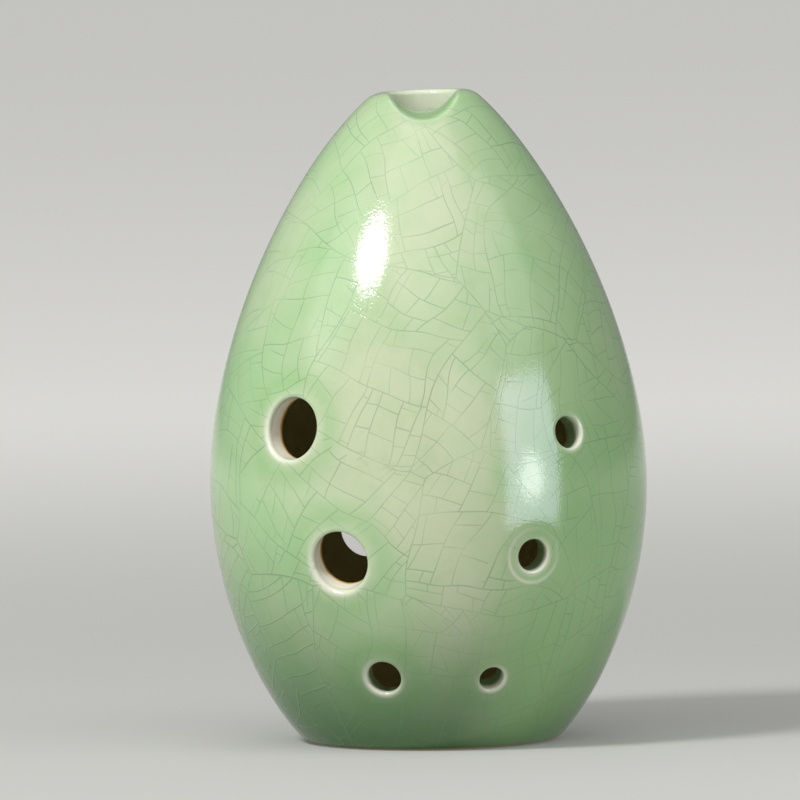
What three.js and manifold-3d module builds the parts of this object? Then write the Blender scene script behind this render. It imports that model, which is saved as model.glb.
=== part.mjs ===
// Xun: an egg-shaped vessel flute of fired clay under a green crackle glaze.
// Millimetres, +Z up. The origin is the centre of the flat foot and -Y is the front,
// where the blowing notch and the six finger holes are.
import * as THREE from 'three';
import { mergeVertices } from 'three/addons/utils/BufferGeometryUtils.js';
import Module from 'manifold-3d';

// Egg, measured over the glaze
const height = 110;
const bellyRadius = 36.9;
const bellyHeight = 44.1;
const footRadius = 20.9; // where the flank would meet the ground if the corner were sharp
const crownRadius = 8; // where the flank would meet the top if the corner were sharp
const footCornerRadius = 3.4;
const crownCornerRadius = 4.4;

// How the flank runs from belly to crown, and from belly to foot: 2 and 0.5 make an ellipse
const crownFlank = { swell: 1.78, taper: 0.836 };
const footFlank = { swell: 1.99, taper: 0.825 };

// Walls
const glazeThickness = 0.5;
const clayWall = 3.2;
const floorThickness = 4.6;
const floorCornerRadius = 7;
const glazeLine = 0.35; // height above the ground at which the wiped glaze ends

// Blow hole, and the notch whose inner edge splits the breath
const blowHoleRadius = 5.8;
const blowHoleLip = 0.9;
const throatLength = 7;
const ceilingRise = 1.6; // the cavity's ceiling climbs this much from the wall to the throat
const notchRadius = 6.6;
const notchDepth = 3.2; // at the blowing edge
const notchSlopeDegrees = 11; // the notch floor falls towards the front

// Seam of the two bowls: how far the groove for the luting coil opens each way
const grooveHalfHeight = 2.6;
const coilProud = 0.5;

// Rows of holes. The upper and middle rows keep to the seam, the low row keeps to the foot.
const upperRowRise = 10;
const middleRowDrop = 10.9;
const upperRow = bellyHeight + upperRowRise;
const middleRow = bellyHeight - middleRowDrop;
const lowRow = 12.6;

// Finger and thumb holes, each a little off its row as a hand cuts it. The azimuth turns from
// the front towards +X. The lean tips the bore's inner end up from the line square to the
// wall, and lip rounds its outer edge. A dish is pared round one hole to tune it.
const holes = [
  { row: upperRow, rise: 0.6, azimuth: -39.8, diameter: 10.3, lip: 0.7, lean: 8 },
  { row: middleRow, rise: -0.7, azimuth: -25, diameter: 9.8, lip: 0.8, lean: 12 },
  { row: lowRow, rise: 0.3, azimuth: -15.6, diameter: 5.7, lip: 0.6, lean: -14 },
  { row: upperRow, rise: -0.6, azimuth: 40.5, diameter: 5.3, lip: 0.6, lean: 0 },
  {
    row: middleRow,
    rise: 0,
    azimuth: 28.8,
    diameter: 5.4,
    lip: 0.4,
    lean: 0,
    dish: { radius: 4.6, depth: 0.5 },
  },
  { row: lowRow, rise: -0.2, azimuth: 19.9, diameter: 4.2, lip: 0.4, lean: 0 },
  { row: middleRow, rise: 0.1, azimuth: 161, diameter: 9.6, lip: 0.7, lean: 0 },
  { row: middleRow, rise: 0.1, azimuth: 199, diameter: 9.6, lip: 0.7, lean: 0 },
];

// Cutters run this far past what they cut
const overrun = 2;

// Facets
const segments = 48;
const crownFlankSteps = 10;
const footFlankSteps = 7;
const cornerSteps = 4;
const lipSteps = 2;
const holeSegments = 20;

const glazeMaterial = new THREE.MeshStandardMaterial({ color: 0x9fc394, roughness: 0.08, metalness: 0 });
const upperClayMaterial = new THREE.MeshStandardMaterial({ color: 0xcdb88f, roughness: 0.85, metalness: 0 });
const lowerClayMaterial = new THREE.MeshStandardMaterial({ color: 0xc4ad84, roughness: 0.85, metalness: 0 });
const lutingMaterial = new THREE.MeshStandardMaterial({ color: 0xa98a5c, roughness: 0.95, metalness: 0 });

// Radius of the glazed skin at a height
function skinRadius(z) {
  const above = z > bellyHeight;
  const flank = above ? crownFlank : footFlank;
  const reach = above ? height - bellyHeight : bellyHeight;
  const end = above ? crownRadius : footRadius;
  const share = Math.min(1, Math.abs(z - bellyHeight) / reach);
  return end + (bellyRadius - end) * (1 - share ** flank.swell) ** flank.taper;
}

// Point of the skin at a height, with its outward normal, both as (radius, height)
function skinPoint(z) {
  const step = (height - bellyHeight) * 1e-5;
  const slope = (skinRadius(z + step) - skinRadius(z - step)) / (2 * step);
  const normal = new THREE.Vector2(1, -slope).normalize();
  return { point: new THREE.Vector2(skinRadius(z), z), normal };
}

function inset({ point, normal }, distance) {
  return point.clone().addScaledVector(normal, -distance);
}

// Height at which the skin, inset by a distance, comes to a wanted height
function heightOfInset(distance, wanted, low, high) {
  for (let i = 0; i < 60; i++) {
    const middle = (low + high) / 2;
    if (inset(skinPoint(middle), distance).y < wanted) low = middle;
    else high = middle;
  }
  return (low + high) / 2;
}

function angleOf(normal) {
  return Math.atan2(normal.y, normal.x);
}

// Points of an arc with their outward normals
function arc(centre, radius, from, to, steps) {
  return Array.from({ length: steps + 1 }, (_, i) => {
    const angle = from + ((to - from) * i) / steps;
    const normal = new THREE.Vector2(Math.cos(angle), Math.sin(angle));
    return { point: centre.clone().addScaledVector(normal, radius), normal };
  });
}

function flank(from, to, steps) {
  return Array.from({ length: steps + 1 }, (_, i) => skinPoint(from + ((to - from) * i) / steps));
}

const footTangency = heightOfInset(footCornerRadius, footCornerRadius, 0, bellyHeight);
const footCentre = inset(skinPoint(footTangency), footCornerRadius);
const crownTangency = heightOfInset(crownCornerRadius, height - crownCornerRadius, bellyHeight, height);
const crownCentre = inset(skinPoint(crownTangency), crownCornerRadius);
const lipCentre = new THREE.Vector2(blowHoleRadius + blowHoleLip, height - blowHoleLip);

// The skin in three runs, each a list of points with normals
const footAngle = angleOf(skinPoint(footTangency).normal);
const footCorner = arc(footCentre, footCornerRadius, -Math.PI / 2, footAngle, cornerSteps);
const lowerFlank = flank(footTangency, bellyHeight, footFlankSteps);
const upperFlank = flank(bellyHeight, crownTangency, crownFlankSteps);
const crownAngle = angleOf(skinPoint(crownTangency).normal);
const crownCorner = arc(crownCentre, crownCornerRadius, crownAngle, Math.PI / 2, cornerSteps);
const innerLip = arc(lipCentre, blowHoleLip, Math.PI / 2, Math.PI, lipSteps);
const lowerSkin = [...footCorner, ...lowerFlank.slice(1)];
const upperSkin = [...upperFlank, ...crownCorner.slice(1), ...innerLip];

function insetAll(run, distance) {
  return run.map((place) => inset(place, distance));
}

// Cavity wall, from the floor's centre up to the seam groove, and from there to the throat
const clayDepth = glazeThickness + clayWall;
const throatRadius = blowHoleRadius + glazeThickness;
const floorInset = clayDepth + floorCornerRadius;
const floorTangency = heightOfInset(floorInset, floorThickness + floorCornerRadius, 0, bellyHeight);
const floorCentre = inset(skinPoint(floorTangency), floorInset);
const floorAngle = angleOf(skinPoint(floorTangency).normal);
const floorCorner = arc(floorCentre, floorCornerRadius, -Math.PI / 2, floorAngle, cornerSteps);
const throatFoot = new THREE.Vector2(throatRadius, height - throatLength);
const cavityTop = heightOfInset(clayDepth, throatFoot.y - ceilingRise, bellyHeight, height);
const grooveFoot = inset(skinPoint(heightOfInset(clayDepth, bellyHeight - grooveHalfHeight, 0, height)), clayDepth);
const grooveHead = inset(skinPoint(heightOfInset(clayDepth, bellyHeight + grooveHalfHeight, 0, height)), clayDepth);
const grooveRoot = new THREE.Vector2(bellyRadius - glazeThickness - clayWall / 2, bellyHeight);

function cavityRun(from, to, steps) {
  return insetAll(flank(from, to, steps), clayDepth);
}

const lowerCavity = [
  new THREE.Vector2(0, floorThickness),
  ...insetAll(floorCorner, 0),
  ...cavityRun(floorTangency, bellyHeight - grooveHalfHeight, footFlankSteps - 1).slice(1, -1),
  grooveFoot,
];
const upperCavity = [
  grooveHead,
  ...cavityRun(bellyHeight + grooveHalfHeight, cavityTop, crownFlankSteps - 1).slice(1),
  throatFoot,
];

// Solid of revolution about Z. The outline starts and ends on the axis, or closes on itself.
function revolve(outline) {
  const geometry = new THREE.LatheGeometry(outline, segments);
  geometry.rotateX(Math.PI / 2);
  return toSolid(geometry);
}

const wasm = await Module();
wasm.setup();

function toSolid(geometry) {
  const bare = geometry.clone();
  bare.deleteAttribute('normal');
  bare.deleteAttribute('uv');
  const merged = mergeVertices(bare, height * 1e-7);
  const corners = merged.index.array;
  const vertices = merged.attributes.position;
  const kept = [];
  for (let i = 0; i < corners.length; i += 3) {
    const [a, b, c] = corners.slice(i, i + 3);
    if (a !== b && b !== c && c !== a) kept.push(a, b, c);
  }
  const mesh = new wasm.Mesh({
    numProp: 3,
    vertProperties: new Float32Array(vertices.array),
    triVerts: new Uint32Array(kept),
  });
  mesh.merge();
  const solid = new wasm.Manifold(mesh);
  return solid.volume() < 0 ? toSolid(flipped(merged)) : solid;
}

function flipped(geometry) {
  const corners = Array.from(geometry.index.array);
  for (let i = 0; i < corners.length; i += 3) [corners[i], corners[i + 1]] = [corners[i + 1], corners[i]];
  geometry.setIndex(corners);
  return geometry;
}

function toGeometry(solid) {
  const { vertProperties, triVerts } = solid.getMesh();
  const geometry = new THREE.BufferGeometry();
  geometry.setAttribute('position', new THREE.BufferAttribute(vertProperties, 3));
  geometry.setIndex(new THREE.BufferAttribute(triVerts, 1));
  geometry.computeVertexNormals();
  return geometry;
}

// Where a hole sits: the skin point and the bore's outward direction
function holeSeat({ row, rise, azimuth, lean }) {
  const { point, normal } = skinPoint(row + rise);
  const turn = THREE.MathUtils.degToRad(azimuth);
  const outward = new THREE.Vector3(Math.sin(turn), -Math.cos(turn), 0);
  const pitch = angleOf(normal) - THREE.MathUtils.degToRad(lean);
  const place = outward.clone().multiplyScalar(point.x).setZ(point.y);
  const direction = outward.clone().multiplyScalar(Math.cos(pitch)).setZ(Math.sin(pitch));
  return { place, direction };
}

// A cutter revolved about its own Y axis, stood on the skin at a hole with Y pointing out
function seatCutter(outline, hole) {
  const { place, direction } = holeSeat(hole);
  const geometry = new THREE.LatheGeometry(outline, holeSegments);
  const turn = new THREE.Quaternion().setFromUnitVectors(new THREE.Vector3(0, 1, 0), direction);
  geometry.applyQuaternion(turn);
  geometry.translate(place.x, place.y, place.z);
  return toSolid(geometry);
}

// Bore with a flared lip. The wall falls away at the sides of a wide hole, so the flare sits lower there.
function boreCutter(hole) {
  const bore = hole.diameter / 2;
  const sag = (bore + hole.lip) ** 2 / (4 * bellyRadius);
  const flareCentre = new THREE.Vector2(bore + hole.lip, -hole.lip - sag);
  const flare = arc(flareCentre, hole.lip, Math.PI, Math.PI / 2, lipSteps).map(({ point }) => point);
  const inner = -clayDepth - overrun;
  return seatCutter(
    [
      new THREE.Vector2(0, inner),
      new THREE.Vector2(bore, inner),
      ...flare,
      new THREE.Vector2(bore + hole.lip, overrun),
      new THREE.Vector2(0, overrun),
    ],
    hole,
  );
}

// Cap of a ball whose rim is the dish's edge; grow deepens it for the clay under the glaze
function dishCutter(hole, grow) {
  const { radius, depth } = hole.dish;
  const ball = (radius ** 2 + depth ** 2) / (2 * depth);
  const opening = Math.asin(radius / ball);
  const centre = new THREE.Vector2(0, ball - depth);
  const run = arc(centre, ball + grow, -Math.PI / 2, opening - Math.PI / 2, cornerSteps);
  const cap = run.map(({ point }) => point);
  const rim = new THREE.Vector2(cap.at(-1).x, overrun);
  return seatCutter([...cap, rim, new THREE.Vector2(0, overrun)], hole);
}

// Round channel across the front rim. Its floor passes notchDepth below the rim at the
// blowing edge and falls towards the front; grow widens it for the clay under the glaze.
function notchCutter(grow) {
  const radius = notchRadius + grow;
  const slope = THREE.MathUtils.degToRad(notchSlopeDegrees);
  const reach = bellyRadius;
  const geometry = new THREE.CylinderGeometry(radius, radius, reach, holeSegments * 2);
  const fall = blowHoleRadius * Math.tan(slope);
  geometry.translate(0, reach / 2, 0);
  geometry.rotateX(Math.PI + slope);
  geometry.translate(0, 0, height - notchDepth + notchRadius / Math.cos(slope) + fall);
  return toSolid(geometry);
}

const clayLowerSkin = insetAll(lowerSkin, glazeThickness);
const clayUpperSkin = insetAll(upperSkin, glazeThickness);
const footPad = new THREE.Vector2(footCentre.x, 0);

const lowerBowl = revolve([
  new THREE.Vector2(0, 0),
  footPad,
  ...clayLowerSkin,
  grooveRoot,
  ...lowerCavity.toReversed(),
]);
const upperBowl = revolve([grooveRoot, ...clayUpperSkin, ...upperCavity.toReversed(), grooveRoot]);
const coilFace = new THREE.Vector2(grooveRoot.x - clayWall / 2 - coilProud, bellyHeight);
const coil = revolve([grooveRoot, grooveHead, coilFace, grooveFoot, grooveRoot]);

// Clay form without its cavity, and the same form under its glaze, whose difference is the coat
const clayForm = revolve([
  new THREE.Vector2(0, 0),
  footPad,
  ...clayLowerSkin,
  ...clayUpperSkin.slice(1),
  throatFoot,
  new THREE.Vector2(0, throatFoot.y),
]);
const wipeAngle = Math.asin((glazeLine - footCornerRadius) / footCornerRadius);
const wipedCorner = arc(footCentre, footCornerRadius, wipeAngle, footAngle, cornerSteps);
const glazedForm = revolve([
  new THREE.Vector2(0, footCentre.y),
  footCentre,
  ...insetAll(wipedCorner, 0),
  ...insetAll(lowerFlank.slice(1), 0),
  ...insetAll(upperSkin.slice(1), 0),
  new THREE.Vector2(blowHoleRadius, throatFoot.y - overrun),
  new THREE.Vector2(0, throatFoot.y - overrun),
]);

const bores = holes.map(boreCutter);
const dishedHoles = holes.filter(({ dish }) => dish);
const clayDishes = dishedHoles.map((hole) => dishCutter(hole, glazeThickness));
const glazeDishes = dishedHoles.map((hole) => dishCutter(hole, 0));
const clayNotch = notchCutter(glazeThickness);
const glazeNotch = notchCutter(0);

function cutAll(solid, cutters) {
  return cutters.reduce((rest, cutter) => rest.subtract(cutter), solid);
}

const upperShell = cutAll(upperBowl, [clayNotch, ...bores]);
const lowerShell = cutAll(lowerBowl, [...clayDishes, ...bores]);
const bareForm = cutAll(clayForm, [clayNotch, ...clayDishes]);
const coat = cutAll(glazedForm, [glazeNotch, ...glazeDishes, bareForm, ...bores]);

const xun = new THREE.Group();

function addPiece(name, solid, material) {
  const mesh = new THREE.Mesh(toGeometry(solid), material);
  mesh.name = name;
  xun.add(mesh);
}

addPiece('upper_shell', upperShell, upperClayMaterial);
addPiece('lower_shell', lowerShell, lowerClayMaterial);
addPiece('luting_coil', coil, lutingMaterial);
addPiece('glaze_coat', coat, glazeMaterial);

export default xun;
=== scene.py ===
"""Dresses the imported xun: a smooth crackle glaze over clay bowls, on a plain pale floor."""
import math
from functools import partial

import bmesh
import bpy
from bpy.props import FloatProperty, FloatVectorProperty, IntProperty, PointerProperty
from mathutils import Matrix, Vector


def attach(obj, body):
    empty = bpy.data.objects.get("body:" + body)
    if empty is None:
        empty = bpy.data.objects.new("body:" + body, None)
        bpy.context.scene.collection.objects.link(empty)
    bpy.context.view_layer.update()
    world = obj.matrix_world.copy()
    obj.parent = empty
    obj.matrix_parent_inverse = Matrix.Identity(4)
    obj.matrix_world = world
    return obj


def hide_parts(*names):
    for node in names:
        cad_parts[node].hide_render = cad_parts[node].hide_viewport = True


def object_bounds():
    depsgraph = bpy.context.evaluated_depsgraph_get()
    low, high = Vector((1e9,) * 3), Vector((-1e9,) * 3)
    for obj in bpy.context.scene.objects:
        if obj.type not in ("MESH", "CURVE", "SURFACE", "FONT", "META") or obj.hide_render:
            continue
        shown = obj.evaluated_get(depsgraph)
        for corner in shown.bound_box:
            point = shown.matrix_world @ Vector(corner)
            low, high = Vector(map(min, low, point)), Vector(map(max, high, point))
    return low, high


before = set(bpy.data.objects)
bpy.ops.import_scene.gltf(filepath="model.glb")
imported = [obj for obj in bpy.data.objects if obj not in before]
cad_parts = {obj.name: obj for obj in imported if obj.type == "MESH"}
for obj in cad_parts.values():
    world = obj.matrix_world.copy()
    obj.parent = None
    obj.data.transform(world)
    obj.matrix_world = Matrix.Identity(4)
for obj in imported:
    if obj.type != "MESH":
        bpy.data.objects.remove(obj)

bl_info = {
    "name": "Xun",
    "version": (1, 0, 0),
    "blender": (4, 5, 0),
    "location": "3D View > Sidebar > Xun",
    "description": "Builds a glazed clay vessel flute round its packed CAD model",
    "category": "Add Mesh",
}

MM = 0.001
CAD_LOW, CAD_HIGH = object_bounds()
UP = Vector((0, 0, 1))
HALVES = (0.5, 0.5, 0.5)  # the middle of a noise's colours, and the factor for half a step
BELLY = 44.1  # height of the belly in millimetres, where the two bowls meet
MARKS = ("thin", "pool", "foot", "blush", "ridge")  # what the glaze's points keep

LARGE_BORE = 4 * MM  # a bore of a greater radius is a large one
LIP_COVER = 0.07 * MM  # added to the radius of the clay's bores, so that glaze covers their edge

# How near a point has to be, to count as the same point, on a ring, on a bore's wall, or beside
# a hole along its axis, where nothing of the pot's far side is meant
MERGE = 0.002 * MM
ON_RING = 0.001 * MM
ON_WALL = 0.1 * MM
BY_HOLE = 8 * MM

# How each flank runs from the belly to its end: the swell and taper of a squashed ellipse
CROWN_FLANK = (1.78, 0.836)
FOOT_FLANK = (1.99, 0.825)

# Holes as in the CAD. The azimuth turns from the front (-Y) towards +X, in degrees. The lean
# tips the bore's inner end up. Sizes are in millimetres.
HOLES = {
    "upper_left": dict(height=54.7, azimuth=-39.8, bore=10.3, lip=0.7, lean=8),
    "middle_left": dict(height=32.5, azimuth=-25, bore=9.8, lip=0.8, lean=12),
    "low_left": dict(height=12.9, azimuth=-15.6, bore=5.7, lip=0.6, lean=-14),
    "upper_right": dict(height=53.5, azimuth=40.5, bore=5.3, lip=0.6, lean=0),
    "middle_right": dict(height=33.2, azimuth=28.8, bore=5.4, lip=0.4, lean=0, dish=(4.6, 0.5)),
    "low_right": dict(height=12.4, azimuth=19.9, bore=4.2, lip=0.4, lean=0),
    "right_thumb": dict(height=33.3, azimuth=161, bore=9.6, lip=0.7, lean=0),
    "left_thumb": dict(height=33.3, azimuth=199, bore=9.6, lip=0.7, lean=0),
}


def linear(hex_colour):
    """An sRGB hex colour such as 9FC394 as linear red, green and blue."""
    parts = [int(hex_colour[i : i + 2], 16) / 255 for i in (0, 2, 4)]
    return tuple(c / 12.92 if c <= 0.04045 else ((c + 0.055) / 1.055) ** 2.4 for c in parts)


def length(name, description, default):
    """A length that the panel shows, with its default in metres."""
    return FloatProperty(
        name=name, description=description, default=default, unit="LENGTH", precision=5
    )


def colour(name, description, default):
    """A colour that the panel shows, with its default as an sRGB hex value."""
    return FloatVectorProperty(
        name=name, description=description, default=linear(default), subtype="COLOR", min=0, max=1
    )


class XunSizes(bpy.types.PropertyGroup):
    height: length("Height", "From the ground to the rim", CAD_HIGH.z)
    belly_radius: length("Belly radius", "Widest radius, over the glaze", CAD_HIGH.x)
    belly_height: length("Belly height", "Where the two bowls meet", BELLY * MM)
    foot_radius: length("Foot radius", "Where the flank would meet the ground", 20.9 * MM)
    crown_radius: length("Crown radius", "Where the flank would meet the top", 8 * MM)
    foot_corner: length("Foot corner", "Rounding of the foot", 3.4 * MM)
    crown_corner: length("Crown corner", "Rounding of the shoulder at the rim", 4.4 * MM)
    glaze: length("Glaze", "Thickness of the glaze", 0.5 * MM)
    clay_wall: length("Clay wall", "Thickness of the clay", 3.2 * MM)
    floor: length("Floor", "Thickness of the clay under the cavity", 4.6 * MM)
    floor_corner: length("Floor corner", "Rounding between floor and wall inside", 7 * MM)
    glaze_line: length("Glaze line", "Where the glaze was wiped off above the ground", 0.35 * MM)
    blow_hole: length("Blow hole", "Radius of the throat", 5.8 * MM)
    blow_lip: length("Blow lip", "Rounding of the throat's rim", 0.9 * MM)
    throat: length("Throat", "Depth of the straight throat", 7 * MM)
    ceiling_rise: length("Ceiling rise", "Climb of the ceiling to the throat", 1.6 * MM)
    notch_radius: length("Notch radius", "Radius of the round notch in front", 6.6 * MM)
    notch_depth: length("Notch depth", "Depth of the notch at the blowing edge", 3.2 * MM)
    notch_slope: FloatProperty(
        name="Notch slope",
        description="Fall of the notch's floor",
        default=math.radians(11),
        subtype="ANGLE",
    )
    groove: length("Groove", "Half the height of the luted groove", 2.6 * MM)
    coil_proud: length("Coil", "How far the luted coil stands into the cavity", 0.5 * MM)
    rim_tilt: length("Rim tilt", "How much lower the hand-made rim is on the left", 0.45 * MM)
    segments: IntProperty(name="Segments", description="Steps of a full turn", default=192, min=48)


class XunColours(bpy.types.PropertyGroup):
    glaze: colour("Glaze", "Green of the glaze at its usual thickness", "ABD09A")
    cream: colour("Cream glaze", "Where the fire left the glaze yellower", "CBD6B2")
    # Also painted shade: this green is laid down the right side, away from the key light, most of
    # all low down
    pool: colour("Pooled glaze", "Where the glaze ran thick", "90C27C")
    # Painted shade: this darker green stands for the shade near the ground, and only partly for
    # glaze that gathered at the foot
    foot: colour("Glaze at the foot", "Where the glaze ran down and gathered", "47743F")
    # Also painted light: this pale glaze is laid brightest on the lit side of each lip, on the
    # dish's rim and down the throat's wall
    thin: colour("Thin glaze", "Where the glaze drew off an edge", "F8F5E4")
    crackle: colour("Crackle", "Stain in the cracks", "6F9076")
    lamp: colour("Panel light", "Cool light of the panel on the right", "E0E2FF")
    speck: colour("Speck", "Yellow specks in the glaze", "B9BE5C")
    wall: colour("Bore wall", "Thinly glazed clay in the holes", "FFF9E6")
    # Painted shade in part: this green is darker than the glaze, for the shade inside the small
    # holes
    well: colour("Well", "Glaze that ran into the small holes", "7B9468")
    toast: colour("Toasted edge", "Clay that the fire browned at a sharp edge", "D29A3C")
    clay: colour("Clay", "Bare fired clay", "D6D09C")
    slip: colour("Slip", "The finger-smoothed coil inside the seam", "A07C50")
    floor: colour("Floor", "The pale floor", "BDBCB8")


def smooth_min(a, b, softness):
    """The lesser of two heights, with the crease between them rounded."""
    near = max(softness - abs(a - b), 0) / softness
    return min(a, b) - near * near * softness / 4


def ease(value, start, end):
    """0 at start, 1 at end, smoothly."""
    share = min(max((value - start) / (end - start), 0), 1)
    return share * share * (3 - 2 * share)


class Egg:
    """The pot's outline, worked out from the sizes, in metres. A spot is a (point, normal) pair of
    vectors in the plane of radius and height."""

    NOTCH_SOFTNESS = 1.5 * MM

    def __init__(self, sizes):
        s = self.sizes = sizes
        self.foot_z = self.height_of_inset(s.foot_corner, s.foot_corner, 0, s.belly_height)
        self.foot_centre = self.inset(self.spot(self.foot_z), s.foot_corner)
        crown = s.height - s.crown_corner
        self.crown_z = self.height_of_inset(s.crown_corner, crown, s.belly_height, s.height)
        self.crown_centre = self.inset(self.spot(self.crown_z), s.crown_corner)
        # The lip's rounding touches the throat's wall and, from inside, the shoulder's rounding
        across = s.blow_hole + s.blow_lip - self.crown_centre.x
        self.lip_start = math.acos(across / (s.crown_corner - s.blow_lip))
        climb = across * math.tan(self.lip_start)
        self.lip_centre = self.crown_centre + Vector((across, climb))
        self.lip_top = self.lip_centre.y + s.blow_lip
        self.lip_foot = s.height - s.blow_lip
        self.throat_foot = s.height - s.throat
        self.near_top = s.height - 2 * s.throat
        # The seam's groove: its root in the middle of the wall, and the heights on the skin
        # outside its two edges
        self.wall = s.glaze + s.clay_wall
        self.groove_root = Vector((s.belly_radius - s.glaze - s.clay_wall / 2, s.belly_height))
        self.groove_ends = [
            self.height_of_inset(self.wall, z, 0, s.height)
            for z in (s.belly_height - s.groove, s.belly_height + s.groove)
        ]

    def radius(self, z):
        """The pot's radius at a height."""
        s = self.sizes
        above = z > s.belly_height
        swell, taper = CROWN_FLANK if above else FOOT_FLANK
        reach = s.height - s.belly_height if above else s.belly_height
        end = s.crown_radius if above else s.foot_radius
        share = min(1, abs(z - s.belly_height) / reach)
        return end + (s.belly_radius - end) * (1 - share**swell) ** taper

    def spot(self, z):
        """The skin's spot at a height, with its normal from the slope between two near heights."""
        step = 0.0005 * MM
        slope = (self.radius(z + step) - self.radius(z - step)) / (2 * step)
        return Vector((self.radius(z), z)), Vector((1, -slope)).normalized()

    def inset(self, spot, distance):
        """A spot's point moved in along its normal."""
        return spot[0] - spot[1] * distance

    def height_of_inset(self, distance, wanted, low, high):
        """Height on the skin whose point, moved in by a distance, comes to a wanted height."""
        for _ in range(50):  # each pass halves the span
            middle = (low + high) / 2
            if self.inset(self.spot(middle), distance).y < wanted:
                low = middle
            else:
                high = middle
        return (low + high) / 2

    def flank(self, low, high, steps):
        return [self.spot(low + (high - low) * i / steps) for i in range(steps + 1)]

    def foot_arc(self, start, steps):
        normal = self.spot(self.foot_z)[1]
        end = math.atan2(normal.y, normal.x)
        return arc(self.foot_centre, self.sizes.foot_corner, start, end, steps)

    def crown_arc(self, steps):
        normal = self.spot(self.crown_z)[1]
        start = math.atan2(normal.y, normal.x)
        return arc(self.crown_centre, self.sizes.crown_corner, start, self.lip_start, steps)

    def lip_arc(self, steps):
        return arc(self.lip_centre, self.sizes.blow_lip, self.lip_start, math.pi, steps)

    def notch_height(self, x, y):
        """Height of the round notch's floor, which falls towards the front, or None beside it."""
        s = self.sizes
        if y >= 0 or abs(x) >= s.notch_radius:
            return None
        middle = s.height - s.notch_depth + (y + s.blow_hole) * math.tan(s.notch_slope)
        rise = s.notch_radius - math.sqrt(s.notch_radius**2 - x * x)
        return middle + rise / math.cos(s.notch_slope)

    def pressed(self, x, y, z, under=0.0):
        """Height of a crown point once the notch is cut and the rim has its tilt."""
        s = self.sizes
        notch = self.notch_height(x, y)
        if notch is not None:
            z = smooth_min(z, notch - under, self.NOTCH_SOFTNESS)
        left = min(max(0.5 - x / (2 * s.crown_radius), 0), 1)
        return z - s.rim_tilt * left * ease(z, self.near_top, s.height)

    def press_crown(self, mesh, inset=0.0):
        """Moves a crown's points down into the notch. The throat's wall is squeezed to fit."""
        s = self.sizes
        top, lip_radius = self.lip_top - inset, s.blow_hole + s.blow_lip
        for vertex in mesh.vertices:
            x, y, z = vertex.co
            if z < self.throat_foot + 0.01 * MM:
                if math.hypot(x, y) < lip_radius or z < self.near_top:
                    continue
            if math.hypot(x, y) >= lip_radius - ON_RING:
                vertex.co.z = self.pressed(x, y, z, inset)
                continue
            fade = min(max((z - self.throat_foot) / (self.lip_foot - self.throat_foot), 0), 1)
            vertex.co.z = z + (self.pressed(x, y, top, inset) - top) * fade


def arc(centre, radius, start, end, steps):
    """Spots along an arc in the plane of radius and height."""
    spots = []
    for i in range(steps + 1):
        angle = start + (end - start) * i / steps
        normal = Vector((math.cos(angle), math.sin(angle)))
        spots.append((centre + normal * radius, normal))
    return spots


class Bore:
    """A hole's axis, and places round it that follow the skin."""

    def __init__(self, egg, hole):
        self.egg = egg
        self.radius = hole["bore"] / 2 * MM
        self.lip = hole["lip"] * MM
        self.dish = [size * MM for size in hole.get("dish", (0, 0))]
        point, normal = egg.spot(hole["height"] * MM)
        turn = math.radians(hole["azimuth"])
        # The lip's painted highlight is brightest at this turn: below, and on the side away from
        # the front, where the light falls
        self.lit_lip_turn = math.radians(-90 + 45 * math.copysign(1, math.sin(turn)))
        outward = Vector((math.sin(turn), -math.cos(turn), 0))
        pitch = math.atan2(normal.y, normal.x) - math.radians(hole["lean"])
        self.seat = outward * point.x + UP * point.y
        self.axis = outward * math.cos(pitch) + UP * math.sin(pitch)
        self.side = UP.cross(outward)
        self.up = self.axis.cross(self.side)
        self.facing = self.axis.to_track_quat("Z", "Y").to_euler()

    def spot(self, reach, turn, depth):
        """Point this far from the axis, at a turn about it, and this deep under the skin."""
        start = self.seat + (self.side * math.cos(turn) + self.up * math.sin(turn)) * reach
        slide = 0.0
        for _ in range(14):  # each pass slides the point nearer to the skin
            point = start + self.axis * slide
            slide -= math.hypot(point.x, point.y) - self.egg.radius(point.z)
        return start + self.axis * (slide - depth)

    def reach_and_turn(self, point):
        """A point's distance from the axis, its turn about it, and how far out along it."""
        offset = point - self.seat
        across, over = offset.dot(self.side), offset.dot(self.up)
        return math.hypot(across, over), math.atan2(over, across), offset.dot(self.axis)

    def reach(self, point):
        """A point's distance from the axis, or infinity where it is not beside the hole."""
        reach, _, along = self.reach_and_turn(point)
        return reach if abs(along) < BY_HOLE else math.inf

    def dish_depth(self, reach):
        """How deep the pared dish is at a distance from the axis, with a softened rim."""
        radius, depth = self.dish
        if not radius:
            return 0.0
        share = reach / radius
        bowl = depth * (1 - share * share)
        return -smooth_min(-bowl, 0, depth * 0.8) if share < 1.3 else 0.0

    def rings(self, glaze):
        """Distance from the axis and depth of each ring, from the skin over the lip into the
        bore, where the glaze runs on for its own thickness."""
        edge = self.radius + self.lip
        spread = []
        if self.dish[0]:
            shares = (1.3, 1.22, 1.15, 1.09, 1.04, 1.0, 0.96, 0.91, 0.86, 0.8)
            spread = [self.dish[0] * share for share in shares]
        spread += [edge + 0.55 * MM, edge + 0.22 * MM, edge]
        rings = [(reach, self.dish_depth(reach)) for reach in spread]
        base = self.dish_depth(edge)
        steps = 6
        for i in range(1, steps + 1):
            angle = math.pi / 2 * i / steps
            sunk = base + self.lip * (1 - math.cos(angle))
            rings.append((edge - self.lip * math.sin(angle), sunk))
        rings += [(self.radius, base + self.lip + glaze * share) for share in (0.5, 1)]
        return rings


def deselect():
    if bpy.context.object and bpy.context.object.mode != "OBJECT":
        bpy.ops.object.mode_set(mode="OBJECT")
    bpy.ops.object.select_all(action="DESELECT")


def pick(piece):
    """Makes one object the only one selected, and active."""
    deselect()
    piece.select_set(True)
    bpy.context.view_layer.objects.active = piece


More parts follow.
